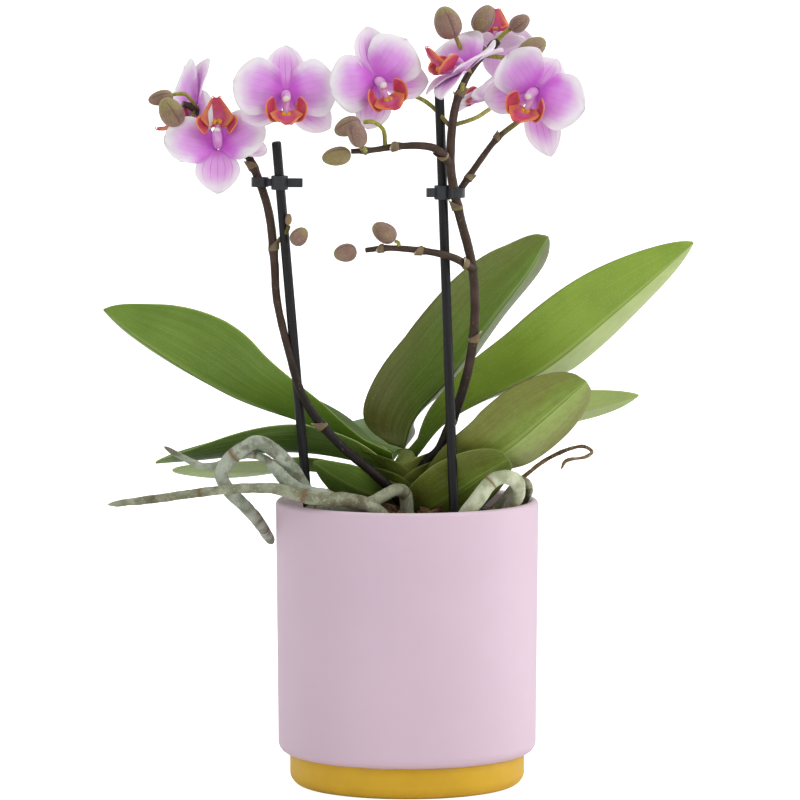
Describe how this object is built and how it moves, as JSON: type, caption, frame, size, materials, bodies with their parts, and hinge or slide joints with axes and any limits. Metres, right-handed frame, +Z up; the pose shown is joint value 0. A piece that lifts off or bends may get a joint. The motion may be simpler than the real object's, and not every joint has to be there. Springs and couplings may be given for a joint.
{
  "type": "potted orchid",
  "caption": "Moth orchid with arching flower spikes on support sticks, strap leaves and aerial roots, in a two-tone ceramic cover pot.",
  "frame": {"origin": "centre of the cover pot's flat underside, on the surface it stands on", "axes": "+Z up the pot and the plant, -Y towards the front where the flowers face, +X to the right seen from the front"},
  "size_m": [0.2472, 0.1273, 0.3271],
  "materials": {
    "pot_ceramic": "matte",
    "nursery_plastic": "satin",
    "bark": "matte",
    "stick_plastic": "satin",
    "clip_plastic": "satin",
    "leaf": "satin",
    "crown": "satin",
    "stalk": "matte",
    "petal": "matte",
    "lip": "satin",
    "bud": "matte",
    "root": "matte"
  },
  "bodies": {
    "root": {"ceramic_pot": "pot_ceramic", "nursery_pot": "nursery_plastic", "support_stick_left": "stick_plastic", "support_stick_right": "stick_plastic", "flower_spike_left": "stalk", "flower_spike_right": "stalk", "stem_clip_left": "clip_plastic", "stem_clip_right": "clip_plastic", "crown": "crown", "aerial_root_long": "root", "aerial_root_arch": "root", "aerial_root_thin": "root", "aerial_root_front": "root", "aerial_root_hoop": "root", "aerial_root_right": "root", "aerial_root_dried": "root", "leaf_upper_left": "leaf", "leaf_middle_left": "leaf", "leaf_lower_left": "leaf", "leaf_inner_left": "leaf", "leaf_back_left": "leaf", "leaf_top_back": "leaf", "leaf_upper_right": "leaf", "leaf_lower_right": "leaf", "leaf_far_right": "leaf", "leaf_front": "leaf", "flower_left_rear_lip": "lip", "flower_left_rear_petals": "petal", "flower_left_front_lip": "lip", "flower_left_front_petals": "petal", "flower_centre_left_lip": "lip", "flower_centre_left_petals": "petal", "flower_centre_lip": "lip", "flower_centre_petals": "petal", "flower_right_lip": "lip", "flower_right_petals": "petal", "flower_upper_side_lip": "lip", "flower_upper_side_petals": "petal", "flower_upper_rear_lip": "lip", "flower_upper_rear_petals": "petal", "flower_right_rear_lip": "lip", "flower_right_rear_petals": "petal", "bud_far_left": "bud", "bud_left": "bud", "bud_twig_tip": "bud", "bud_twig": "bud", "bud_lower_branch_tip": "bud", "bud_lower_branch": "bud", "bud_upper_branch_rear": "bud", "bud_upper_branch_front": "bud", "bud_upper_branch_tip": "bud", "bud_crest_left": "bud", "bud_crest_middle": "bud", "bud_crest_right": "bud", "bud_crest_low": "bud", "bark_mix": "bark"}
  },
  "joints": []
}
